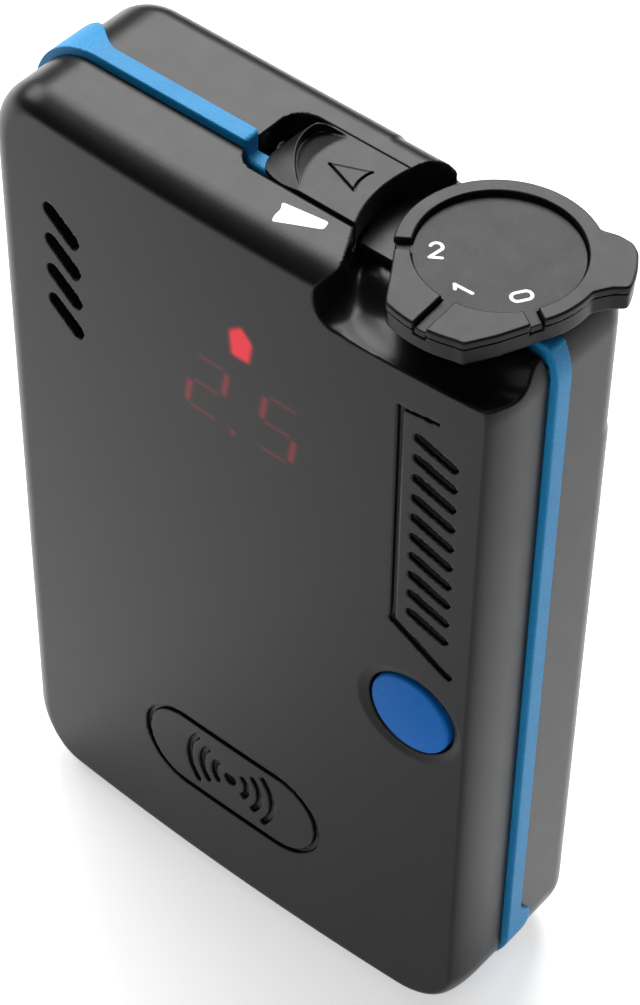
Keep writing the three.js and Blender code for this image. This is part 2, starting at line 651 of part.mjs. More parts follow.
function pieces() {
  const block = caseBlock(0);
  const shell = caseShell();
  const knobAxis = [KNOB.x, KNOB.y];
  const springFoot = new THREE.Vector3(DETENT.x, DETENT.y, DETENT.bottom + SEAM);
  const detentSpring = coil(springFoot, new THREE.Vector3(0, 0, 1), 2.7, 0.75, 0.75, 0.16, 4);
  const ball = new THREE.SphereGeometry(1, 12, 8).translate(DETENT.x, DETENT.y, DETENT.ballZ);
  const springLeft = new THREE.Vector3(POCKET_LEFT + 0.5, 2.5, 108.4);
  const lockSpring = coil(springLeft, new THREE.Vector3(1, 0, 0), 5.6, 0.75, 0.75, 0.17, 6);
  const speakerAxis = [SPEAKER.x, SPEAKER.z];
  const hingeAxis = [HINGE.y, HINGE.z];
  const list = [
    ['front_housing', frontHousing(shell), 'shell'],
    ['rear_housing', rearHousing(shell), 'shell'],
    ['seal_band', sealBand(block), 'blue'],
    ['function_knob', functionKnob(), 'gloss'],
    ['knob_label_disc', labelDisc(), 'gloss'],
    ['knob_shaft', knobShaft(), 'steel'],
    ['knob_screw', screw('z', knobAxis, 2.8, 1.2, 109.6, 108.95, 102.6), 'steel'],
    ['knob_oring', tube('z', knobAxis, SHAFT_R + 0.06, 3.1, FLOOR_Z - 1.2, FLOOR_Z - 0.1), 'rubber'],
    ['rotary_switch', rotarySwitch(), 'chip'],
    ['detent_ball', solid(ball), 'steel'],
    ['detent_spring', detentSpring, 'steel'],
    ['lock_slider', lockSlider(), 'gloss'],
    ['lock_spring', lockSpring, 'steel'],
    ['option_button', optionButton(), 'blueCap'],
    ['button_boot', tube('y', [BUTTON.x, BUTTON.z], 4.3, 5.2, -6.8, BOARD.front - SEAM, 28), 'rubber'],
    ['tact_switch', tactSwitch(), 'chip'],
    ['display_window', displayWindow(), 'lens'],
    ['display_module', displayModule(), 'lens'],
    ['main_board', mainBoard(), 'board'],
    ['signal_processor', box(-6, 6, BOARD.rear + SEAM, -0.2, 84, 96), 'chip'],
    ['speaker', speaker(), 'steel'],
    ['speaker_gasket', tube('y', speakerAxis, SPEAKER.r - 2, SPEAKER.r - 1, -8.8, -8.15, 36), 'rubber'],
    ...antenna('antenna_x', 'x', [4.6, 14], ROD_R, -22, 22, 3),
    ...antenna('antenna_y', 'z', [-25.6, 4.6], ROD_R, 24, 90, 4),
    ...antenna('antenna_z', 'y', [26.2, 36], 4.6, -1, 9.4, 1),
    ['battery_door', batteryDoor(), 'shell'],
    ['door_latch', doorLatch(), 'gloss'],
    ['door_gasket', doorGasket(), 'rubber'],
    ['door_hinge_pin', rod('x', hingeAxis, HINGE.pinR, 0.9 - HINGE.earHalf, HINGE.earHalf), 'steel'],
  ];
  [-1, 0, 1].forEach((place, i) => {
    const x = place * CELL.pitch;
    const up = place !== 0;
    const springZ = up ? BAY.bottom + CONTACT_THICK + 0.05 : BAY.top - CONTACT_THICK - 0.05;
    const origin = new THREE.Vector3(x, CELL.y, springZ);
    const way = new THREE.Vector3(0, 0, up ? 1 : -1);
    list.push([`battery_${i + 1}`, cell(x, up), 'cell']);
    list.push([`battery_spring_${i + 1}`, coil(origin, way, 2.75, 3.4, 2.2, 0.25, 2.6), 'steel']);
  });
  const halfPlate = CELL.pitch / 2;
  const plates = [[-3, -1, 'bottom', 1], [-1, 3, 'bottom', 2], [-3, 1, 'top', 1], [1, 3, 'top', 2]];
  plates.forEach(([from, to, end, n]) => {
    const z0 = end === 'bottom' ? BAY.bottom + SEAM : BAY.top - CONTACT_THICK;
    const plate = box(from * halfPlate + 0.4, to * halfPlate - 0.4, 1.4, 11, z0, z0 + CONTACT_THICK - SEAM);
    list.push([`contact_${end}_${n}`, plate, 'brass']);
  });
  SCREWS.forEach((centre, i) => {
    const { headR, shankR, headOut, headIn, tip } = SCREW;
    list.push([`housing_screw_${i + 1}`, screw('y', centre, headR, shankR, headOut, headIn, tip), 'steel']);
  });
  return list;
}

const transceiver = new THREE.Group();
for (const [name, body, colour] of pieces()) {
  const [color, roughness, metalness] = COLOURS[colour];
  const material = new THREE.MeshStandardMaterial({ color, roughness, metalness });
  const mesh = new THREE.Mesh(geometryOf(body), material);
  mesh.name = name;
  transceiver.add(mesh);
}

export default transceiver;
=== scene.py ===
"""Avalanche transceiver: the visible shells and controls, set on the bodies of its frame.

The shells, band, knob, slider, button, door and latch are drawn as signed distances in
millimetres, meshed, and given the normals of the true surface. The inner parts keep their CAD
meshes. Every piece has a procedural material.
"""

import json
import math

import bpy
import numpy as np
from mathutils import Matrix, Vector


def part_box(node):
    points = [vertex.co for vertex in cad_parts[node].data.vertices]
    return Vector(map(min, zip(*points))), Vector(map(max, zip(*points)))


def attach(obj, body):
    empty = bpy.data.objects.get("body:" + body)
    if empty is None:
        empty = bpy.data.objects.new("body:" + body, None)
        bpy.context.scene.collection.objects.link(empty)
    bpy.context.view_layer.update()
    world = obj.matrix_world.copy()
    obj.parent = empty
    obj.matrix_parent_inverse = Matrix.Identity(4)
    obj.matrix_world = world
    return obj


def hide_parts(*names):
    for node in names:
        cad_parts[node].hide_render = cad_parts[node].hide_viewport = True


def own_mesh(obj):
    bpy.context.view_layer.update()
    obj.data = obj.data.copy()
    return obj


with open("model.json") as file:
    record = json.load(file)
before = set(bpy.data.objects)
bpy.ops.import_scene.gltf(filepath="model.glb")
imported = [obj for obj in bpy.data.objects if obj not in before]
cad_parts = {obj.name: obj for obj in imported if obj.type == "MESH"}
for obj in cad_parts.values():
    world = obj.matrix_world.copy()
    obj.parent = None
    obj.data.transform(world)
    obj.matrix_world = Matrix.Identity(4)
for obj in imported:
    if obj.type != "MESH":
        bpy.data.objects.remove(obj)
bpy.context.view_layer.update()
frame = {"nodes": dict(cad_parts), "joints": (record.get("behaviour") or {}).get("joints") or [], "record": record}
MM = 0.001


def box_mm(node):
    """Lowest and highest corner of a CAD node, in millimetres."""
    low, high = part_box(node)
    return [c / MM for c in low], [c / MM for c in high]


# ---- Sizes, in millimetres ------------------------------------------------------------------

(CASE_LEFT, FRONT, _), (CASE_RIGHT, _, HEIGHT) = box_mm("front_housing")
HALF_W = (CASE_RIGHT - CASE_LEFT) / 2
BACK = -FRONT
CROWN = 1.27
CORNER = 8.5
REAR_ROUND = 3.8
WALL = 2.2

BAND_FRONT, BAND_REAR, BAND_PROUD, BAND_DEPTH = -2.0, 0.36, 0.95, 3.2
SEAM = 0.05

KNOB_X, KNOB_Y = (joint / MM for joint in frame["joints"][0]["pos_m"][:2])
KNOB_TOP = HEIGHT
RECESS_R = 15
FLOOR = 107.3
FRONT_FLOOR = 106.4
LIP_FRONT = -2.4
BUTTON_X, BUTTON_Z, BUTTON_R, BEZEL_R = 26.25, 52.72, 5.44, 7.1
SCREW_HOLE_R = 1.25
SCREWS = [(-27.5, 9), (27.5, 9), (-27.5, 101), (27.8, 80)]
HINGE_Y, HINGE_Z = 12.9, 80
KNUCKLE_R, KNUCKLE_HALF, EAR_HALF = 1.1, 14.7, 19
REAR_INNER = 11.2
LATCH_Z, LATCH_HEAD = 21.6, 3.6
DOOR = {"half": 21.5, "bottom": 17, "top": 78.9, "inner": 12.3, "outer": 13.7}
BAY = {"half": 17.4, "bottom": 27.9, "top": 76, "floor": 0.7, "wall": 1.2}


# ---- Signed distances: negative inside --------------------------------------------------------

def rmax(a, b, r):
    """What lies in both shapes, with a round edge of radius r."""
    return np.minimum(np.maximum(a, b), -r) + np.hypot(np.maximum(a + r, 0), np.maximum(b + r, 0))


def rmin(a, b, r):
    return -rmax(-a, -b, r)


def cut(a, b, r=0.0):
    """Shape a without shape b, with a rim of radius r."""
    return rmax(a, -b, r) if r else np.maximum(a, -b)


def smin(a, b, k):
    """Both shapes together, run into each other over a width k."""
    h = np.maximum(k - np.abs(a - b), 0) / k
    return np.minimum(a, b) - h * h * k / 4


def ease(t):
    t = np.clip(t, 0, 1)
    return t * t * (3 - 2 * t)


def rect(u, v, u0, u1, v0, v1, r=0.0):
    """A rectangle with corners of radius r."""
    qu = np.abs(u - (u0 + u1) / 2) - (u1 - u0) / 2 + r
    qv = np.abs(v - (v0 + v1) / 2) - (v1 - v0) / 2 + r
    return np.hypot(np.maximum(qu, 0), np.maximum(qv, 0)) + np.minimum(np.maximum(qu, qv), 0) - r


def block(x, y, z, x0, x1, y0, y1, z0, z1, r=0.0):
    """A box, with edges of radius r."""
    plan = rect(x, z, x0, x1, z0, z1, r)
    depth = np.maximum(y0 - y, y - y1)
    return rmax(plan, depth, r) if r else np.maximum(plan, depth)


def line(u, v, a, b):
    """Distance to the straight stroke from a to b."""
    du, dv = b[0] - a[0], b[1] - a[1]
    t = np.clip(((u - a[0]) * du + (v - a[1]) * dv) / (du * du + dv * dv), 0, 1)
    return np.hypot(u - a[0] - t * du, v - a[1] - t * dv)


def arc(u, v, centre, radius, start, end):
    """Distance to a round stroke, from one angle to another in degrees."""
    du, dv = u - centre[0], v - centre[1]
    middle, half = math.radians((start + end) / 2), math.radians((end - start) / 2)
    c, s = math.cos(middle), math.sin(middle)
    along, across = du * c + dv * s, np.abs(dv * c - du * s)
    tip = (radius * math.cos(half), radius * math.sin(half))
    off = np.hypot(along - tip[0], across - tip[1])
    return np.where(np.arctan2(across, along) <= half, np.abs(np.hypot(du, dv) - radius), off)


def polygon(u, v, corners, r=0.0):
    """A convex outline given by its corners, in order, each rounded by r."""
    middle = np.mean(corners, axis=0)
    d = -1e3
    for (u0, v0), (u1, v1) in zip(corners, corners[1:] + corners[:1]):
        nu, nv = v1 - v0, u0 - u1
        length = math.hypot(nu, nv)
        sign = 1 if nu * (middle[0] - u0) + nv * (middle[1] - v0) < 0 else -1
        d = rmax(d, sign * ((u - u0) * nu + (v - v0) * nv) / length, r)
    return d


# ---- Case -------------------------------------------------------------------------------------

def corner_parts(x, z):
    return np.abs(x) - (HALF_W - CORNER), np.abs(z - HEIGHT / 2) - (HEIGHT / 2 - CORNER)


def outline(x, z):
    """The case outline, seen from the front."""
    qx, qz = corner_parts(x, z)
    return np.hypot(np.maximum(qx, 0), np.maximum(qz, 0)) + np.minimum(np.maximum(qx, qz), 0) - CORNER


def lean(x, z):
    """How far the outline's nearest side faces right: 1 on the right side, -1 on the left."""
    qx, qz = corner_parts(x, z)
    qx, qz = np.maximum(qx, 1e-4), np.maximum(qz, 0)
    return np.sign(x) * qx / np.hypot(qx, qz)


def face(x):
    """Where the crowned front face lies."""
    return FRONT + CROWN * (x / HALF_W) ** 2


def oval_edge(side, front, inset, depth):
    """A quarter oval that joins a side to the front face."""
    u = np.maximum(side + inset, 0) / inset
    w = np.maximum(front + depth, 0) / depth
    k = np.maximum(np.hypot(u, w), 1e-6)
    steep = np.maximum(np.hypot(u / inset, w / depth) / k, 1e-6)
    return np.where((u > 0) & (w > 0), (k - 1) / steep, np.maximum(side, front))


def case(x, y, z):
    side = outline(x, z)
    turn = lean(x, z)
    inset = 2.05 + np.where(turn < 0, 1.65, -0.75) * turn ** 2
    depth = 3.95 + 1.6 * np.maximum(turn, 0) ** 2
    front = oval_edge(side, face(x) - y, inset, depth)
    relief = 0.3 * ease((x - 4.6) / 0.8) * ease((z - 86) / 2)
    rear = rmax(side, y - BACK + relief, REAR_ROUND)
    return np.maximum(front, rear)


def room(x, y, z):
    """The space inside the walls."""
    side = outline(x, z) + WALL
    return np.maximum(rmax(side, face(x) + WALL - y, 2.0), rmax(side, y - BACK + WALL, 2.0))


def from_knob(x, y):
    return np.hypot(x - KNOB_X, y - KNOB_Y)


def pocket(x, y, z):
    """The pocket that the lock slider runs in."""
    return np.maximum(rect(x, y, -5.5, KNOB_X - 6, -3.95, 6.65, 2.8), FLOOR - z)


def rear_recess(x, y, z):
    """The rear half of the knob's round recess, with the slider's pocket beside it."""
    return np.minimum(np.maximum(from_knob(x, y) - RECESS_R, FLOOR - z), pocket(x, y, z))


def scoop(x, y, z):
    """The knob recess in the front shell: a table under the knob, a groove round it that is
    deepest at both sides, and a mouth that opens through the front face."""
    r = from_knob(x, y)
    ahead = np.clip((KNOB_Y - y) / RECESS_R, 0, 1)
    groove = (103.5 + 1.8 * ahead ** 6 + 1.15 * (RECESS_R - r) - z) / math.hypot(1, 1.15)
    bowl = rmax(r - RECESS_R, smin(FRONT_FLOOR - z, groove, 0.8), 2.4)
    mouth = np.minimum(rect(x, z, 12.2, 80, 104.7, 110.95, 2.9), np.maximum(15.1 - x, 108 - z))
    return smin(bowl, rmax(mouth, y + 5.4, 2.2), 2.4)


def slots(x, z):
    """Four slanted slots over the speaker."""
    slope = math.radians(-36.7)
    reach = 2.05
    du, dv = reach * math.cos(slope), reach * math.sin(slope)
    d = 1e3
    for i in range(4):
        middle = (-23.35, 89.45 + (i - 1.5) * 4.43)
        ends = [(middle[0] + k * du, middle[1] + k * dv) for k in (-1, 1)]
        d = np.minimum(d, line(x, z, *ends) - 1.0)
    return d


def badge(x, z):
    """Plain marks on the front: a frame line with slanted bars, and a rounded
    panel with waves that spread from a dot."""
    d = line(x, z, (23.5, 99.3), (23.6, 67.2)) - 0.36
    d = np.minimum(d, line(x, z, (23.6, 67.2), (31.0, 62.7)) - 0.5)
    d = np.minimum(d, line(x, z, (23.5, 99.3), (28.2, 99.8)) - 0.14)
    for i in range(10):
        z0 = 69.0 + i * 2.95
        d = np.minimum(d, line(x, z, (25.9, z0 + 0.7), (30.2, z0 - 0.9)) - 0.62)
    centre = (0.4, 20.6)
    half_u, half_v = 13.4, 6.3
    left, right = centre[0] - half_u, centre[0] + half_u
    panel = np.abs(rect(x, z, left, right, centre[1] - half_v, centre[1] + half_v, 6.2)) - 0.35
    d = np.minimum(d, panel)
    d = np.minimum(d, np.hypot(x - centre[0], z - centre[1]) - 0.9)
    for radius in (2.6, 4.6, 6.6):
        for side in (0, 180):
            d = np.minimum(d, arc(x, z, centre, radius, side - 38, side + 38) - 0.42)
    return d


def bosses(x, z, radius):
    """A round of the given radius at each housing screw."""
    d = 1e3
    for place in SCREWS:
        d = np.minimum(d, np.hypot(x - place[0], z - place[1]) - radius)
    return d


def front_shell(x, y, z):
    """The front housing, with its recess, slots, button hole, marks and screw bosses."""
    void = np.minimum(scoop(x, y, z), pocket(x, y, z))
    body = cut(case(x, y, z), np.maximum(room(x, y, z), WALL - void))
    body = np.minimum(body, np.maximum(bosses(x, z, 2.7), np.maximum(face(x) + 1 - y, y + 2.4)))
    body = cut(body, void, 0.22)
    lip = np.maximum(LIP_FRONT - 0.1 - y, 105.2 - z)
    body = cut(body, np.maximum(from_knob(x, y) - RECESS_R - 0.1, lip))
    body = cut(body, np.maximum(slots(x, z), y + 8), 0.12)
    hole = np.hypot(x - BUTTON_X, z - BUTTON_Z)
    bezel = face(x) + 0.34 * ease((BEZEL_R - hole) / 1.3) - y
    body = cut(body, np.maximum(hole - BEZEL_R, -bezel))
    body = cut(body, np.maximum(hole - BUTTON_R - 0.28, y + 5), 0.3)
    body = cut(body, np.maximum(hole - 6.7, np.maximum(-9.2 - y, y + 5)))
    body = cut(body, rmax(badge(x, z), y - face(x) - 0.6, 0.15), 0.12)
    body = cut(body, np.maximum(bosses(x, z, SCREW_HOLE_R), np.maximum(-7.5 - y, y)))
    return np.maximum(body, y - BAND_FRONT + SEAM)


def gasket_ring(x, z, inner, outer):
    """A ring round the cell bay, between two distances from its edge."""
    half, bottom, top = BAY["half"], BAY["bottom"], BAY["top"]

    def grown(by):
        return rect(x, z, -half - by, half + by, bottom - by, top + by, 2)

    return np.maximum(grown(outer), -grown(inner))


def rear_shell(x, y, z):
    """The rear housing, with the knob's floor and shaft hole, the cell bay and hinge ears."""
    half, bottom, top, wall = BAY["half"], BAY["bottom"], BAY["top"], BAY["wall"]
    void = rear_recess(x, y, z)
    body = cut(case(x, y, z), np.maximum(room(x, y, z), WALL - void))
    body = np.maximum(body, BAND_REAR + SEAM - y)
    lip = np.maximum(block(x, y, z, 6, 31, LIP_FRONT, 1, 105.5, FLOOR), from_knob(x, y) - RECESS_R)
    body = np.minimum(body, lip)
    side = half + wall
    box = block(x, y, z, -side, side, BAY["floor"] - wall, REAR_INNER, bottom - wall, top + wall)
    body = np.minimum(body, box)
    body = np.minimum(body, block(x, y, z, -20.5, 20.5, 8.4, REAR_INNER, 24.5, 82))
    body = np.minimum(body, np.maximum(bosses(x, z, 3), np.maximum(0.8 - y, y - REAR_INNER)))
    seat = np.maximum(np.hypot(x, z - LATCH_Z) - 3.1, np.maximum(8.6 - y, y - REAR_INNER))
    body = np.minimum(body, seat)
    shaft = from_knob(x, y)
    body = cut(body, void, 0.12)
    body = np.minimum(body, np.maximum(shaft - 5.5, np.maximum(101.7 - z, z - FLOOR)))
    body = cut(body, np.maximum(shaft - 2.1, 95 - z))
    body = cut(body, np.maximum(shaft - 3.2, 106 - z), 0.1)
    body = cut(body, np.maximum(np.hypot(x - KNOB_X + 5.4, y - KNOB_Y - 5.2) - 1.1, 102.8 - z), 0.1)
    hinge = np.hypot(y - HINGE_Y, z - HINGE_Z)
    ears = np.maximum(hinge - KNUCKLE_R, np.abs(x) - EAR_HALF)
    foot = block(x, y, z, -EAR_HALF, EAR_HALF, 11.5, HINGE_Y, HINGE_Z - 0.6, HINGE_Z + KNUCKLE_R)
    ears = rmax(np.minimum(ears, foot), np.abs(x) - EAR_HALF, 0.3)
    reach = KNUCKLE_HALF + 0.25
    gap = np.maximum(np.abs(x) - reach, hinge - KNUCKLE_R - 0.25)
    gap = np.minimum(gap, block(x, y, z, -reach, reach, BACK + 0.01, 20, 78, HINGE_Z + 2))
    body = cut(rmin(body, ears, 0.3), gap, 0.1)
    body = cut(body, np.maximum(hinge - 0.55, np.abs(x) - 30))
    body = cut(body, block(x, y, z, -half, half, BAY["floor"], 20, bottom, top, 0.4), 0.15)
    body = cut(body, np.maximum(gasket_ring(x, z, 0.55, 1.85), 11.75 - y), 0.1)
    body = cut(body, np.maximum(np.hypot(x, z - LATCH_Z) - 1.9, 8 - y), 0.15)
    body = cut(body, np.maximum(bosses(x, z, SCREW_HOLE_R), -y))
    body = cut(body, np.maximum(bosses(x, z, 2.5), 10.15 - y), 0.2)
    return body


def seal_band(x, y, z):
    """The band in the parting line, thicker at two corners and open at the knob's corner."""
    side = outline(x, z)
    proud = BAND_PROUD * np.where(x < 0, ease((z - 1) / 6), ease((z - 3.5) / 6))
    centre_x, centre_z = CORNER - HALF_W, HEIGHT - CORNER
    quarter = math.pi / 2 * (CORNER + 1)
    angle = np.arctan2(centre_x - x, z - centre_z)
    along = np.where(x > centre_x, centre_x - x, angle * (CORNER + 1))
    along = np.where(z > centre_z, along, quarter + centre_z - z)
    top_left = 3.4 * ease((along + 1.2) / 7) * (1 - ease((along - 6.5) / 7)) * (x < 0)
    bottom_right = 2.0 * (1 - ease((z - 10.6) / 2.6)) * ease((z - 4) / 6) * (x > 0)
    rear = BAND_REAR + top_left + bottom_right
    ring = np.maximum(side - proud, -side - BAND_DEPTH)
    ring = np.maximum(ring, np.maximum(BAND_FRONT - y, y - BAND_REAR))
    skin = rmax(np.maximum(side - proud, 0.02 - side), np.maximum(BAND_FRONT - y, y - rear), 0.25)
    band = rmax(np.minimum(ring, skin), side - proud, 0.22)
    step = np.maximum(np.maximum(-5.35 - x, x), 109.3 - z)
    band = cut(band, step, 0.55)
    knob_corner = np.maximum(-2.1 - x, 103.9 - z)
    below_knob = np.maximum(30.9 - x, z - FLOOR)
    return cut(band, np.maximum(knob_corner, -below_knob), 0.3)


# ---- Knob -------------------------------------------------------------------------------------

ARMS = [-145.1, -87, -32.2]
ARM_HALF = 0.72
DISC_R = 8.9
DISC_TOP = KNOB_TOP - 0.7
KNOB_UNDER = 107.85
KNOB_SPLIT = 109.9


def knob_rim():
    """The knob outline as radii over a full turn of angles: a round back, a flat-sided lobe to
    the front and a thumb tab to the right."""
    parts = [
        ("arc", 10.8, 57.3, 212),
        ("line", (10.6, 218), (11.45, 236)), ("line", (11.45, 236), (13.6, 251.7)),
        ("arc", 13.95, 254, 291),
        ("line", (14.2, 293.2), (12.37, 307.4)), ("line", (12.37, 307.4), (11.09, 324.5)),
        ("arc", 10.85, 328, 367),
        ("line", (11.19, 368.4), (12.32, 374.3)), ("line", (12.32, 374.3), (13.98, 377.1)),
        ("arc", 13.85, 380, 401),
        ("line", (13.47, 405.8), (12.34, 411.7)), ("line", (12.34, 411.7), (10.89, 417.2)),
    ]
    points = []
    for kind, *rest in parts:
        if kind == "arc":
            radius, start, end = rest
            points += [(math.radians(a), radius) for a in np.arange(start, end, 2.0)]
            continue
        (r0, a0), (r1, a1) = rest
        p0 = np.array([r0 * math.cos(math.radians(a0)), r0 * math.sin(math.radians(a0))])
        p1 = np.array([r1 * math.cos(math.radians(a1)), r1 * math.sin(math.radians(a1))])
        for t in np.linspace(0, 1, 9)[:-1]:
            p = p0 + t * (p1 - p0)
            whole = math.radians(a0 + t * (a1 - a0))
            turn = math.atan2(p[1], p[0])
            laps = round((whole - turn) / (2 * math.pi))
            points.append((turn + 2 * math.pi * laps, float(np.hypot(*p))))
    angles, radii = np.array(sorted(points)).T
    count, reach = 1440, 12
    steps = np.linspace(0, 2 * math.pi, count + 1)[:-1]
    table = np.interp(steps, angles, radii, period=2 * math.pi)
    spread = np.exp(-0.5 * (np.arange(-reach, reach + 1) / 4.0) ** 2)
    spread /= spread.sum()
    smooth = np.convolve(np.concatenate([table[-reach:], table, table[:reach]]), spread, mode="valid")
    slope = np.gradient(np.concatenate([smooth[-1:], smooth, smooth[:1]]), 2 * math.pi / count)[1:-1]
    return steps, smooth, slope


RIM_ANGLES, RIM_RADII, RIM_SLOPES = knob_rim()


def knob_outline(x, y):
    turn = np.arctan2(y - KNOB_Y, x - KNOB_X) % (2 * math.pi)
    radius = np.interp(turn, RIM_ANGLES, RIM_RADII, period=2 * math.pi)
    slope = np.interp(turn, RIM_ANGLES, RIM_SLOPES, period=2 * math.pi)
    return (from_knob(x, y) - radius) / np.sqrt(1 + (slope / radius) ** 2)


def star(x, y, disc, half):
    """The label disc with an arm to each dial position."""
    d = from_knob(x, y) - disc
    for arm in ARMS:
        a = math.radians(arm)
        tip = (KNOB_X + 20 * math.cos(a), KNOB_Y + 20 * math.sin(a))
        d = np.minimum(d, line(x, y, (KNOB_X, KNOB_Y), tip) - half)
    return d


def knob(x, y, z):
    """The knob's plate over a slightly smaller skirt, with a void for the label disc."""
    rim = knob_outline(x, y)
    plate = rmax(rim, z - KNOB_TOP, 0.28)
    body = np.maximum(plate, KNOB_UNDER - z)
    groove = np.maximum(-rim - 0.42, np.abs(z - KNOB_SPLIT - 0.08) - 0.13)
    body = cut(body, groove, 0.05)
    lower = np.maximum(rim + 0.14, z - KNOB_SPLIT)
    body = np.maximum(body, np.minimum(lower, KNOB_SPLIT - z))
    body = rmax(body, KNOB_UNDER - z, 0.25)
    void = np.maximum(star(x, y, DISC_R + 0.06, ARM_HALF + 0.06), DISC_TOP - 0.85 - z)
    return cut(body, void, 0.18)


def label_disc(x, y, z):
    """The sunk disc with an arm in each channel."""
    flat = np.maximum(star(x, y, DISC_R - 0.06, ARM_HALF - 0.06), knob_outline(x, y) + 0.25)
    return np.maximum(rmax(flat, z - DISC_TOP, 0.12), DISC_TOP - 0.78 - z)


def glyphs(x, y):
    """The numerals 2, 1 and 0 beside the arms, each read from the rim towards the middle."""
    def two(u, v):
        d = arc(u, v, (0, 0.45), 0.62, -20, 165)
        d = np.minimum(d, line(u, v, (0.58, 0.2), (-0.6, -1.1)))
        return np.minimum(d, line(u, v, (-0.6, -1.1), (0.66, -1.1)))

    def one(u, v):
        return np.minimum(line(u, v, (0.12, -1.1), (0.12, 1.07)), line(u, v, (0.12, 1.07), (-0.42, 0.62)))

    def nought(u, v):
        return np.abs(rect(u, v, -0.62, 0.62, -1.08, 1.08, 0.6))

    d = 1e3
    for glyph, radius, arm in ((two, 6.4, -145.5), (one, 6.4, -87.3), (nought, 6.3, -32)):
        a = math.radians(arm)
        cx, cy = KNOB_X + radius * math.cos(a), KNOB_Y + radius * math.sin(a)
        along = -(x - cx) * math.cos(a) - (y - cy) * math.sin(a)
        up = (x - cx) * math.sin(a) - (y - cy) * math.cos(a)
        d = np.minimum(d, glyph(along, up) - 0.2)
    return d


def numerals(x, y, z):
    return np.maximum(glyphs(x, y), np.maximum(DISC_TOP - 0.1 - z, z - DISC_TOP - 0.02))


# ---- Lock slider ------------------------------------------------------------------------------

def slider(x, y, z):
    """A plate flush with the case top. Its left end slopes down from a curved crest, and a thumb
    hollow lies behind the crest."""
    bow = (y - 4.6) ** 2
    crest = -2.5 + 0.1 * bow / (1 + 0.0023 * bow)
    plan = rect(x, y, -3.75, KNOB_X, -3.5, 6.61, 0.3)
    plan = rmax(plan, (-0.62 * (x + 2.9) - 0.78 * (y + 1.9)), 1.6)
    plan = rmax(plan, (-0.75 * (x + 2.6) + 0.66 * (y - 5.9)), 1.2)
    under = np.where(x < -0.3, 109.5, 107.8)
    slope = np.clip(crest - x, 0, 9) / np.maximum(crest + 3.75, 0.9)
    body = rmax(np.maximum(plan, under - z), z - HEIGHT + 1.3 * slope, 0.08)
    right = 0.92 + (y - 2.9) ** 2 / 18
    bed = HEIGHT - 0.36 * (right - x)
    hollow = rmax(crest + 0.14 - x, y - 6.3, 1.0)
    hollow = rmax(hollow, (bed - z) * 0.9, 0.3)
    body = cut(body, hollow, 0.12)
    stroke = np.minimum(line(x, y, (2.8, 1.8), (7.37, 0.22)), arc(x, y, (10.6, 2.3), 3.83, 160, 212.5))
    body = cut(body, np.maximum(stroke - 0.16, HEIGHT - 0.4 - z), 0.04)
    faint = line(x, y, (2.8, 1.8), (7.0, 3.6)) - 0.06
    body = cut(body, np.maximum(faint, HEIGHT - 0.05 - z), 0.04)
    return cut(body, from_knob(x, y) - RECESS_R + 0.05, 0.2)


# ---- Button, pointer, display -----------------------------------------------------------------

def button(x, y, z):
    """A dished cap on a flange."""
    r = np.hypot(x - BUTTON_X, z - BUTTON_Z)
    dome = face(BUTTON_X) + 0.12 - 0.4 * (1 - (r / BUTTON_R) ** 2)
    cap = rmax(r - BUTTON_R, dome - y, 0.4)
    cap = np.maximum(cap, y + 7.7)
    flange = np.maximum(r - BUTTON_R - 0.86, np.maximum(-8.5 - y, y + 7.7))
    return np.minimum(cap, flange)


def pointer(x, y, z):
    """The white wedge printed beside the dial, which marks the position."""
    plan = polygon(x, y, [(3.1, -5.95), (4.05, -8.7), (8.75, -6.3), (8.5, -5.2)], 0.25)
    plan = cut(plan, np.hypot(x - 2.2, y + 7.3) - 1.5, 0.1)
    skin = case(x, y, z)
    return np.maximum(plan - 0.08, np.maximum(skin - 0.02, -skin - 0.12))


def arrow(x, z):
    """Distance to the lit arrow of the display."""
    return polygon(x, z, [(1.0, 96.5), (2.8, 98.0), (4.5, 96.3), (3.95, 93.1), (1.35, 93.1)], 0.5)


def digits(x, z):
    """Distance to the lit parts of two seven-segment digits and the dot between them."""
    italic = 0.17
    d = np.hypot(x - 1.5, z - 81.5) - 0.35
    low, mid, high = 81.9, 86.0, 90.1
    gap = 0.75
    for x0, lit in ((-4.4, "abged"), (5.5, "afgcd")):
        x1 = x0 + 4.6

        def at(px, pz):
            return px + italic * (pz - mid), pz

        ends = {
            "a": (at(x0 + gap, high), at(x1 - gap, high)), "g": (at(x0 + gap, mid), at(x1 - gap, mid)),
            "d": (at(x0 + gap, low), at(x1 - gap, low)), "b": (at(x1, high - gap), at(x1, mid + gap)),
            "c": (at(x1, mid - gap), at(x1, low + gap)), "e": (at(x0, mid - gap), at(x0, low + gap)),
            "f": (at(x0, high - gap), at(x0, mid + gap)),
        }
        for name in lit:
            dim = 0.3 if name in "agd" else 0.0
            d = np.minimum(d, line(x, z, *ends[name]) - 0.42 + dim)
    return d


# ---- Door and latch ---------------------------------------------------------------------------

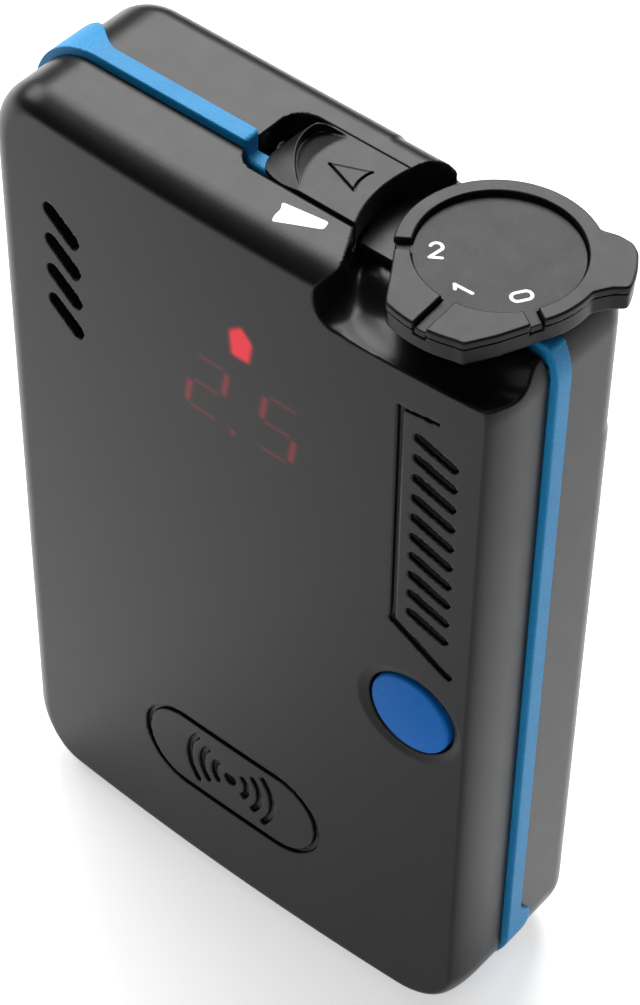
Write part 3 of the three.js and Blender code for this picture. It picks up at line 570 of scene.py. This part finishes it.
def door(x, y, z):
    """The battery door, with a sunk field, grip ridges, a hinge knuckle and the latch's seat."""
    half, bottom, top, inner, outer = (DOOR[k] for k in ("half", "bottom", "top", "inner", "outer"))
    plan = rect(x, z, -half, half, bottom, top, 4)
    body = rmax(np.maximum(plan, inner - y), y - outer, 0.6)
    field = rect(x, z, -half + 3, half - 3, 29, top - 4.5, 2.5)
    body = cut(body, rmax(field, outer - 0.3 - y, 0.2), 0.15)
    for i in range(5):
        ridge = rect(x, z, -7.5, 7.5, 31.6 + 1.7 * i, 32.5 + 1.7 * i, 0.4)
        body = np.minimum(body, rmax(ridge, np.maximum(y - outer + 0.02, inner + 0.5 - y), 0.2))
    r = np.hypot(y - HINGE_Y, z - HINGE_Z)
    knuckle = rmax(r - KNUCKLE_R, np.abs(x) - KNUCKLE_HALF, 0.15)
    web = block(x, y, z, -KNUCKLE_HALF, KNUCKLE_HALF, inner, outer - 0.1, top - 1, HINGE_Z)
    body = rmin(body, np.minimum(knuckle, web), 0.1)
    body = cut(body, r - 0.6)
    hub = np.hypot(x, z - LATCH_Z)
    body = cut(body, np.maximum(hub - LATCH_HEAD - 0.12, outer - 0.85 - y), 0.12)
    return cut(body, hub - 1.6)


def latch(x, y, z):
    """A round head with a coin slot, on a shank."""
    outer = DOOR["outer"]
    hub = np.hypot(x, z - LATCH_Z)
    head = rmax(hub - LATCH_HEAD, np.maximum(y - outer, outer - 0.8 - y), 0.15)
    shank = np.maximum(hub - 1.5, np.maximum(9.4 - y, y - outer + 0.7))
    slot = np.maximum(rect(x, z, -2.7, 2.7, LATCH_Z - 0.6, LATCH_Z + 0.6, 0.5), outer - 0.5 - y)
    return cut(np.minimum(head, shank), slot, 0.1)


# ---- Meshing ----------------------------------------------------------------------------------

def gradient(shape, points, h=0.03):
    columns = []
    for axis in range(3):
        ahead, behind = points.copy(), points.copy()
        ahead[:, axis] += h
        behind[:, axis] -= h
        columns.append((shape(*ahead.T) - shape(*behind.T)) / (2 * h))
    return np.stack(columns, 1)


def surface_net(shape, low, high, step):
    """Points and quads of the zero surface of shape, on a grid from low to high."""
    axes = [np.arange(a - 1.37 * step, b + 1.5 * step, step) for a, b in zip(low, high)]
    value = shape(*np.meshgrid(*axes, indexing="ij", sparse=True))
    value = np.broadcast_to(value, [len(a) for a in axes]).astype(np.float32)
    inside = value < 0
    if any(inside.take(end, axis).any() for axis in range(3) for end in (0, -1)):
        raise ValueError("the shape reaches out of its grid")
    size = np.array(value.shape) - 1
    total = np.zeros(size, np.int8)
    for corner in np.ndindex(2, 2, 2):
        total += inside[tuple(slice(c, c + n) for c, n in zip(corner, size))]
    active = (total > 0) & (total < 8)
    number = np.full(size, -1, np.int32)
    number[active] = np.arange(active.sum())
    count = int(active.sum())
    sums, hits, quads = np.zeros((count, 3)), np.zeros(count), []
    for axis in range(3):
        first = tuple(slice(None, -1) if k == axis else slice(None) for k in range(3))
        second = tuple(slice(1, None) if k == axis else slice(None) for k in range(3))
        i = np.argwhere(inside[first] != inside[second])
        v0 = value[first][tuple(i.T)]
        v1 = value[second][tuple(i.T)]
        place = i.astype(float)
        place[:, axis] += v0 / (v0 - v1)
        b, c = (axis + 1) % 3, (axis + 2) % 3
        cells = []
        for db, dc in ((-1, -1), (0, -1), (0, 0), (-1, 0)):
            j = i.copy()
            j[:, b] += db
            j[:, c] += dc
            cells.append(number[tuple(j.T)])
        for cell in cells:
            for k in range(3):
                sums[:, k] += np.bincount(cell, place[:, k], count)
            hits += np.bincount(cell, minlength=count)
        quad = np.stack(cells, 1)
        quad[v0 > 0] = quad[v0 > 0][:, ::-1]
        quads.append(quad)
    points = sums / hits[:, None] * step + np.array([a[0] for a in axes])
    return points, np.concatenate(quads)


def settled(shape, points, reach):
    """Points moved onto the zero surface of shape, none further than reach."""
    start = points.copy()
    for _ in range(3):
        g = gradient(shape, points)
        points = points - (shape(*points.T) / np.maximum((g * g).sum(1), 0.05))[:, None] * g
        moved = points - start
        far = np.maximum(np.linalg.norm(moved, axis=1) / reach, 1)[:, None]
        points = start + moved / far
    return points


def new_mesh(name, points, faces):
    mesh = bpy.data.meshes.new(name)
    mesh.vertices.add(len(points))
    mesh.vertices.foreach_set("co", (np.asarray(points) * MM).astype(np.float32).ravel())
    mesh.loops.add(faces.size)
    mesh.loops.foreach_set("vertex_index", faces.astype(np.int32).ravel())
    mesh.polygons.add(len(faces))
    mesh.polygons.foreach_set("loop_start", np.arange(0, faces.size, faces.shape[1], dtype=np.int32))
    mesh.update(calc_edges=True)
    mesh.validate()
    return mesh


def set_normals(mesh, shape):
    """Shades mesh with the true surface's own directions."""
    points = np.zeros(len(mesh.vertices) * 3, np.float32)
    mesh.vertices.foreach_get("co", points)
    g = gradient(shape, points.reshape(-1, 3).astype(float) / MM)
    g /= np.maximum(np.linalg.norm(g, axis=1), 1e-9)[:, None]
    mesh.polygons.foreach_set("use_smooth", np.ones(len(mesh.polygons), bool))
    mesh.normals_split_custom_set_from_vertices(g.astype(np.float32))


def build(name, shape, low, high, step, body, material, node=None, keep=1.0):
    """Meshes a shape, thins it to a share of its faces, and sets it on its body in place of a
    node."""
    points, quads = surface_net(shape, low, high, step)
    points = settled(shape, points, step * 0.8)
    piece = bpy.data.objects.new(name, new_mesh(name, points, quads))
    bpy.context.scene.collection.objects.link(piece)
    if keep < 1:
        thin = piece.modifiers.new("thin", "DECIMATE")
        thin.ratio = keep
        bpy.context.view_layer.update()
        evaluated = piece.evaluated_get(bpy.context.evaluated_depsgraph_get())
        mesh = bpy.data.meshes.new_from_object(evaluated)
        piece.modifiers.clear()
        piece.data = mesh
        mesh.name = name
    set_normals(piece.data, shape)
    piece.data.materials.append(material)
    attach(piece, body)
    if node:
        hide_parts(node)


# ---- Materials --------------------------------------------------------------------------------

class Nodes:
    """A material's node tree, with short calls for the nodes it needs."""

    def __init__(self, name):
        self.material = bpy.data.materials.new(name)
        self.material.use_nodes = True
        self.tree = self.material.node_tree
        self.shader = self.tree.nodes["Principled BSDF"]
        self.place = self.add("ShaderNodeTexCoord").outputs["Object"]

    def add(self, kind, **values):
        node = self.tree.nodes.new(kind)
        for key, value in values.items():
            setattr(node, key, value)
        return node

    def link(self, a, b):
        self.tree.links.new(a, b)

    def noise(self, grain, detail=3.0, rough=0.55):
        """Noise whose features are about grain millimetres across."""
        node = self.add("ShaderNodeTexNoise")
        self.link(self.place, node.inputs["Vector"])
        node.inputs["Scale"].default_value = 1 / (grain * MM)
        node.inputs["Detail"].default_value = detail
        node.inputs["Roughness"].default_value = rough
        return node.outputs["Fac"]

    def spread(self, value, low, high, start=0.3, end=0.7):
        """Value from start to end, spread over low to high."""
        node = self.add("ShaderNodeMapRange")
        self.link(value, node.inputs["Value"])
        for key, number in (("From Min", start), ("From Max", end), ("To Min", low), ("To Max", high)):
            node.inputs[key].default_value = number
        return node.outputs["Result"]

    def ramp(self, value, stops):
        node = self.add("ShaderNodeValToRGB")
        self.link(value, node.inputs["Fac"])
        while len(node.color_ramp.elements) < len(stops):
            node.color_ramp.elements.new(0.5)
        for element, (at, colour) in zip(node.color_ramp.elements, stops):
            element.position = at
            element.color = (*colour, 1)
        return node.outputs["Color"]

    def mix(self, factor, a, b):
        """Colour a where factor is 0 and colour b where it is 1."""
        node = self.add("ShaderNodeMix", data_type="RGBA")
        for key, value in (("Factor", factor), ("A", a), ("B", b)):
            if hasattr(value, "is_output"):
                self.link(value, node.inputs[key])
            else:
                node.inputs[key].default_value = (*value, 1)
        return node.outputs["Result"]

    def bump(self, height, depth):
        """Relief of about depth millimetres."""
        node = self.add("ShaderNodeBump")
        node.inputs["Distance"].default_value = depth * MM
        node.inputs["Strength"].default_value = 1
        self.link(height, node.inputs["Height"])
        return node.outputs["Normal"]

    def looks(self, tone, roughness, normal):
        """Links the shader's colour, roughness and relief."""
        self.link(tone, self.shader.inputs["Base Color"])
        self.link(roughness, self.shader.inputs["Roughness"])
        self.link(normal, self.shader.inputs["Normal"])

    def sets(self, **values):
        for key, value in values.items():
            self.shader.inputs[key.replace("_", " ")].default_value = value


def clouded(n, colour, mottle):
    """A colour with faint clouds in its tone."""
    dark = [c * (1 - mottle) for c in colour]
    light = [c * (1 + mottle) for c in colour]
    return n.ramp(n.noise(9.0, 4), [(0.3, dark), (0.7, light)])


def moulded(name, colour, roughness, grain=0.16, depth=0.012, mottle=0.1, **sets):
    """Moulded plastic: a fine even grain, faint clouds in its tone, and convex edges painted lighter in patches as
    a painted highlight.
    """
    n = Nodes(name)
    edge = n.add("ShaderNodeNewGeometry").outputs["Pointiness"]
    # Convex edges are painted lighter in noisy patches: a painted edge highlight.
    edge_highlight_mask = n.ramp(edge, [(0.52, (0, 0, 0)), (0.6, (1, 1, 1))])
    patchy_edge_highlight = n.mix(n.spread(n.noise(2.5, 4), 0, 1), (0, 0, 0), edge_highlight_mask)
    tone = n.mix(patchy_edge_highlight, clouded(n, colour, mottle), [c * 1.6 + 0.002 for c in colour])
    uneven = n.spread(n.noise(3.0, 4), roughness - 0.02, roughness + 0.02)
    n.looks(tone, uneven, n.bump(n.noise(grain, 2), depth))
    n.sets(**sets)
    return n.material


def speckled_blue(name):
    """The grained blue elastomer of the seal band, with pale specks on its crests."""
    n = Nodes(name)
    grain = n.noise(0.22, 2, 0.7)
    base = n.ramp(n.noise(5.0, 3), [(0.3, (0.004, 0.185, 0.41)), (0.7, (0.006, 0.22, 0.47))])
    specks = n.ramp(grain, [(0.5, (0, 0, 0)), (0.68, (1, 1, 1))])
    n.looks(n.mix(specks, base, (0.04, 0.28, 0.58)), n.spread(grain, 0.45, 0.65), n.bump(grain, 0.05))
    n.sets(Specular_IOR_Level=0.25)
    return n.material


def metal(name, colour, roughness):
    """Plated metal with fine scratches and a faintly uneven tone."""
    n = Nodes(name)
    stroke = n.noise(0.4, 5, 0.7)
    tone = n.ramp(n.noise(2.0, 3), [(0.3, [c * 0.82 for c in colour]), (0.7, colour)])
    n.looks(tone, n.spread(stroke, roughness - 0.08, roughness + 0.1), n.bump(stroke, 0.01))
    n.sets(Metallic=1.0)
    return n.material


def wound_copper(name):
    """Fine copper wire, wound side by side, with painted shade in the grooves between turns."""
    n = Nodes(name)
    wave = n.add("ShaderNodeTexWave", wave_type="BANDS", bands_direction="DIAGONAL")
    n.link(n.place, wave.inputs["Vector"])
    wave.inputs["Scale"].default_value = 900
    wave.inputs["Distortion"].default_value = 0.6
    turns = wave.outputs["Fac"]
    # The dark end of this ramp is painted shade in the grooves between the turns.
    tone = n.ramp(turns, [(0.2, (0.16, 0.045, 0.02)), (0.8, (0.62, 0.24, 0.11))])
    n.looks(tone, n.spread(turns, 0.5, 0.28), n.bump(turns, 0.06))
    n.sets(Metallic=0.9)
    return n.material


def circuit_board(name):
    """Green solder mask with a pattern of tracks under it."""
    n = Nodes(name)
    cells = n.add("ShaderNodeTexVoronoi", feature="DISTANCE_TO_EDGE")
    n.link(n.place, cells.inputs["Vector"])
    cells.inputs["Scale"].default_value = 420
    tracks = cells.outputs["Distance"]
    tone = n.ramp(tracks, [(0.05, (0.02, 0.16, 0.06)), (0.12, (0.008, 0.06, 0.025))])
    n.looks(tone, n.spread(n.noise(1.5), 0.3, 0.45), n.bump(tracks, 0.03))
    return n.material


def wrapped_cell(name):
    """The printed film round a battery cell: a dark sleeve with a plain copper-coloured collar."""
    n = Nodes(name)
    split = n.add("ShaderNodeSeparateXYZ")
    n.link(n.place, split.inputs["Vector"])
    height = n.spread(split.outputs["Z"], 0, 1, 0.028, 0.075)
    sleeve = n.ramp(height, [(0.70, (0.03, 0.032, 0.036)), (0.72, (0.55, 0.25, 0.09))])
    tone = n.mix(n.spread(n.noise(6), 0, 0.25), sleeve, (0.12, 0.12, 0.13))
    n.looks(tone, n.spread(n.noise(1.0), 0.25, 0.4), n.bump(n.noise(0.8), 0.02))
    n.sets(Metallic=0.4)
    return n.material


def printed_white(name):
    """White print, slightly uneven."""
    n = Nodes(name)
    tone = n.ramp(n.noise(0.6, 4), [(0.3, (0.78, 0.78, 0.77)), (0.7, (0.9, 0.9, 0.89))])
    n.looks(tone, n.spread(n.noise(0.3), 0.4, 0.55), n.bump(n.noise(0.12), 0.006))
    return n.material


def glowing_window(name, colour, roughness):
    """The case plastic over the display, through which the lit segments show red and soft."""
    n = Nodes(name)
    uneven = n.spread(n.noise(3.0, 4), roughness - 0.02, roughness + 0.02)
    n.looks(clouded(n, colour, 0.12), uneven, n.bump(n.noise(0.16, 2), 0.012))
    glow = n.add("ShaderNodeAttribute", attribute_name="glow").outputs["Fac"]
    faint, dim, lit = (0.02, 0.0005, 0.001), (0.14, 0.002, 0.006), (0.72, 0.008, 0.02)
    red = n.ramp(glow, [(0, (0, 0, 0)), (0.3, faint), (0.6, dim), (1, lit)])
    n.link(red, n.shader.inputs["Emission Color"])
    n.sets(Emission_Strength=1.0, Specular_IOR_Level=0.15)
    return n.material


BLACK = (0.006, 0.006, 0.0063)
KNOB_BLACK, DISC_BLACK = (0.007, 0.007, 0.007), (0.009, 0.009, 0.009)
GLOSS = 0.15
CASE_LOOK = moulded("case_plastic", BLACK, 0.31, Specular_IOR_Level=GLOSS)
DOOR_LOOK = moulded("door_plastic", BLACK, 0.44, depth=0.02, Specular_IOR_Level=GLOSS)
KNOB_LOOK = moulded("knob_plastic", KNOB_BLACK, 0.36, grain=0.12, depth=0.010, Specular_IOR_Level=GLOSS)
DISC_LOOK = moulded("disc_plastic", DISC_BLACK, 0.42, grain=0.14, depth=0.016, Specular_IOR_Level=GLOSS)
SLIDER_LOOK = moulded("slider_plastic", KNOB_BLACK, 0.34, Specular_IOR_Level=GLOSS)
BAND_LOOK = speckled_blue("band_elastomer")
CAP_LOOK = moulded("button_cap", (0.001, 0.11, 0.40), 0.5, grain=0.2, mottle=0.06, Specular_IOR_Level=0.08)
RUBBER_LOOK = moulded("seal_rubber", (0.02, 0.02, 0.02), 0.7, grain=0.3, depth=0.03)
STEEL_LOOK = metal("steel", (0.62, 0.62, 0.63), 0.3)
BRASS_LOOK = metal("contact_brass", (0.72, 0.5, 0.2), 0.34)
COPPER_LOOK = wound_copper("copper_winding")
FERRITE_LOOK = moulded("ferrite", (0.03, 0.032, 0.036), 0.6, grain=0.35, depth=0.05)
BOARD_LOOK = circuit_board("circuit_board")
CHIP_LOOK = moulded("component_black", (0.02, 0.02, 0.021), 0.55, grain=0.25, depth=0.02)
LENS_LOOK = moulded("smoked_lens", (0.05, 0.006, 0.008), 0.2, grain=0.5, depth=0.004)
CELL_LOOK = wrapped_cell("cell_jacket")
WHITE_LOOK = printed_white("printed_white")
WINDOW_LOOK = glowing_window("display_glow", BLACK, 0.31)


def dress_cad_nodes():
    """Gives each CAD node that stays in view the look of its material slot."""
    looks = {
        "steel": STEEL_LOOK, "contact_brass": BRASS_LOOK, "copper": COPPER_LOOK,
        "ferrite": FERRITE_LOOK, "circuit_board": BOARD_LOOK, "component_black": CHIP_LOOK,
        "smoked_lens": LENS_LOOK,
        "cell_jacket": CELL_LOOK, "seal_rubber": RUBBER_LOOK, "case_plastic": CASE_LOOK,
        "control_black": KNOB_LOOK, "band_blue": BAND_LOOK, "button_blue": CAP_LOOK,
    }
    slot_of = {part["node"]: part["material_slot"] for part in frame["record"]["subparts"]}
    for name, node in frame["nodes"].items():
        node.data.materials.clear()
        node.data.materials.append(looks[slot_of[name]])
        node.data.shade_smooth()
        smooth = node.modifiers.new("edges", "EDGE_SPLIT")
        smooth.split_angle = math.radians(32)


# ---- Pieces -----------------------------------------------------------------------------------

def build_shells():
    low, high = [CASE_LEFT, FRONT, 0], [CASE_RIGHT, BAND_FRONT, HEIGHT]
    build("front_case", front_shell, low, high, 0.28, "case", CASE_LOOK,
          "front_housing", 0.3)
    low, high = [CASE_LEFT, LIP_FRONT, 0], [CASE_RIGHT, HINGE_Y + 1.2, HEIGHT]
    build("rear_case", rear_shell, low, high, 0.32, "case", CASE_LOOK,
          "rear_housing", 0.3)
    reach = HALF_W + BAND_PROUD
    low, high = [-reach, BAND_FRONT, 0], [reach, 4.0, HEIGHT + BAND_PROUD]
    build("band", seal_band, low, high, 0.22, "case", BAND_LOOK, "seal_band", 0.5)


def build_knob():
    reach = 14.3
    low = [KNOB_X - reach, KNOB_Y - reach, KNOB_UNDER - 0.05]
    high = [KNOB_X + reach, KNOB_Y + reach, KNOB_TOP]
    build("dial_knob", knob, low, high, 0.13, "knob", KNOB_LOOK,
          "function_knob", 0.5)
    low[2], high[2] = DISC_TOP - 0.8, DISC_TOP
    build("dial_face", label_disc, low, high, 0.12, "knob", DISC_LOOK,
          "knob_label_disc", 0.5)
    low = [KNOB_X - 8, KNOB_Y - 8, DISC_TOP - 0.1]
    high = [KNOB_X + 8, KNOB_Y, DISC_TOP + 0.02]
    build("dial_numerals", numerals, low, high, 0.05, "knob", WHITE_LOOK)


def build_controls():
    low, high = [-4, -3.6, 107.7], [10.9, 6.7, HEIGHT]
    build("slide_lock", slider, low, high, 0.11, "slider", SLIDER_LOOK,
          "lock_slider", 0.5)
    reach = 6.4
    low = [BUTTON_X - reach, FRONT, BUTTON_Z - reach]
    high = [BUTTON_X + reach, -7.6, BUTTON_Z + reach]
    build("button_cap", button, low, high, 0.12, "button", CAP_LOOK,
          "option_button", 0.5)
    low, high = [3, -8.8, 110.4], [9, -4.9, HEIGHT + 0.05]
    build("dial_pointer", pointer, low, high, 0.05, "case", WHITE_LOOK)


def build_door():
    half = DOOR["half"]
    low, high = [-half, HINGE_Y - 1.2, DOOR["bottom"]], [half, HINGE_Y + 1.2, HINGE_Z + 1.2]
    build("cell_door", door, low, high, 0.2, "door", DOOR_LOOK,
          "battery_door", 0.4)
    reach = LATCH_HEAD + 0.1
    low, high = [-reach, 9.4, LATCH_Z - reach], [reach, DOOR["outer"], LATCH_Z + reach]
    build("door_screw", latch, low, high, 0.12, "latch", KNOB_LOOK,
          "door_latch", 0.5)


def build_display():
    """A thin skin over the front face that carries the glow of the lit segments."""
    x0, x1, z0, z1, step = -7.5, 12.5, 78.5, 100.5, 0.16
    xs, zs = np.arange(x0, x1, step), np.arange(z0, z1, step)
    gx, gz = np.meshgrid(xs, zs, indexing="ij")
    rim = np.clip(-rect(gx, gz, x0, x1, z0, z1) / 1.5, 0, 1)
    top = face(gx) - 0.035 * rim + 0.012
    points = np.stack([gx, top, gz], -1).reshape(-1, 3)
    under = np.stack([gx, face(gx) + 0.3, gz], -1).reshape(-1, 3)
    count = gx.size
    cells = np.arange(count).reshape(gx.shape)
    a, b, c, d = cells[:-1, :-1], cells[1:, :-1], cells[1:, 1:], cells[:-1, 1:]
    front = np.stack([a, b, c, d], -1).reshape(-1, 4)
    loop = np.concatenate([cells[:, 0], cells[-1, 1:], cells[-2::-1, -1], cells[0, -2:0:-1]])
    after = np.roll(loop, -1)
    sides = np.stack([after, loop, loop + count, after + count], -1)
    faces = np.concatenate([front, front[:, ::-1] + count, sides])
    mesh = new_mesh("display_glow", np.concatenate([points, under]), faces)
    set_normals(mesh, case)
    glow = np.maximum(ease(0.55 - arrow(gx, gz) / 1.3), 0.7 * ease(0.55 - digits(gx, gz) / 1.5)).ravel()
    attribute = mesh.attributes.new("glow", "FLOAT", "POINT")
    attribute.data.foreach_set("value", np.concatenate([glow, np.zeros(count)]).astype(np.float32))
    piece = bpy.data.objects.new("display_glow", mesh)
    bpy.context.scene.collection.objects.link(piece)
    mesh.materials.append(WINDOW_LOOK)
    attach(piece, "case")


def build_spring():
    """The lock's coil spring, a fixed copy of its CAD mesh set on the case; the real spring shortens as the slider
    is drawn back.
    """
    node = frame["nodes"]["lock_spring"]
    coil = bpy.data.objects.new("lock_coil", node.data.copy())
    bpy.context.scene.collection.objects.link(coil)
    coil.matrix_world = node.matrix_world.copy()
    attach(coil, "case")
    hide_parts("lock_spring")
    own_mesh(coil)


# ---- Stage, camera, lights --------------------------------------------------------------------

def add_camera():
    camera = bpy.data.objects.new("camera", bpy.data.cameras.new("camera"))
    bpy.context.scene.collection.objects.link(camera)
    camera.data.lens = 116.07
    camera.data.sensor_width = 36
    azimuth, elevation, roll = (math.radians(a) for a in (39.43, 46.95, 0.95))
    flat = Vector((-math.sin(azimuth), math.cos(azimuth), 0))
    forward = flat * math.cos(elevation) - Vector((0, 0, math.sin(elevation)))
    level = forward.cross(Vector((0, 0, 1))).normalized()
    right = level * math.cos(roll) + level.cross(forward) * math.sin(roll)
    up = right.cross(forward)
    turn = Matrix((right, up, -forward)).transposed().to_4x4()
    camera.matrix_world = Matrix.Translation(Vector((162.743, -193.351, 330.135)) * MM) @ turn
    bpy.context.scene.camera = camera


def add_floor():
    mesh = bpy.data.meshes.new("floor")
    half = 4.0
    corners = [(-half, -half, 0), (half, -half, 0), (half, half, 0), (-half, half, 0)]
    mesh.from_pydata(corners, [], [(0, 1, 2, 3)])
    floor = bpy.data.objects.new("floor", mesh)
    bpy.context.scene.collection.objects.link(floor)
    n = Nodes("floor_paper")
    tone = n.ramp(n.noise(60, 3), [(0.3, (0.90, 0.90, 0.90)), (0.7, (0.93, 0.93, 0.93))])
    n.link(tone, n.shader.inputs["Base Color"])
    n.sets(Roughness=0.9, Emission_Color=(1, 1, 1, 1), Emission_Strength=0.5)
    mesh.materials.append(n.material)


def add_light(name, place, size, power):
    """A soft rectangular light that faces the middle of the case."""
    lamp = bpy.data.lights.new(name, "AREA")
    lamp.shape = "RECTANGLE"
    lamp.size, lamp.size_y = size
    lamp.energy = power
    light = bpy.data.objects.new(name, lamp)
    bpy.context.scene.collection.objects.link(light)
    light.location = place
    light.rotation_mode = "QUATERNION"
    ahead = Vector((0, 0, 0.06)) - Vector(place)
    light.rotation_quaternion = ahead.to_track_quat("-Z", "Y")


def add_lights():
    world = bpy.data.worlds.new("studio")
    world.use_nodes = True
    world.node_tree.nodes["Background"].inputs["Color"].default_value = (0.9, 0.95, 1.0, 1)
    world.node_tree.nodes["Background"].inputs["Strength"].default_value = 0.05
    bpy.context.scene.world = world
    bpy.context.scene.view_settings.view_transform = "Standard"
    add_light("rear_left", (-0.55, 0.72, 0.95), (0.8, 0.65), 20)
    add_light("left", (-1.1, 0.2, 0.8), (0.6, 0.6), 10)
    add_light("overhead", (-0.3, 0.4, 1.2), (0.6, 0.6), 3)
    add_light("front_fill", (0.3, -1.05, 1.0), (1.0, 1.0), 4)
    add_light("right_rear", (0.2, 1.3, 0.7), (0.5, 0.5), 6)


dress_cad_nodes()
build_shells()
build_knob()
build_controls()
build_door()
build_display()
build_spring()
add_camera()
add_floor()
add_lights()
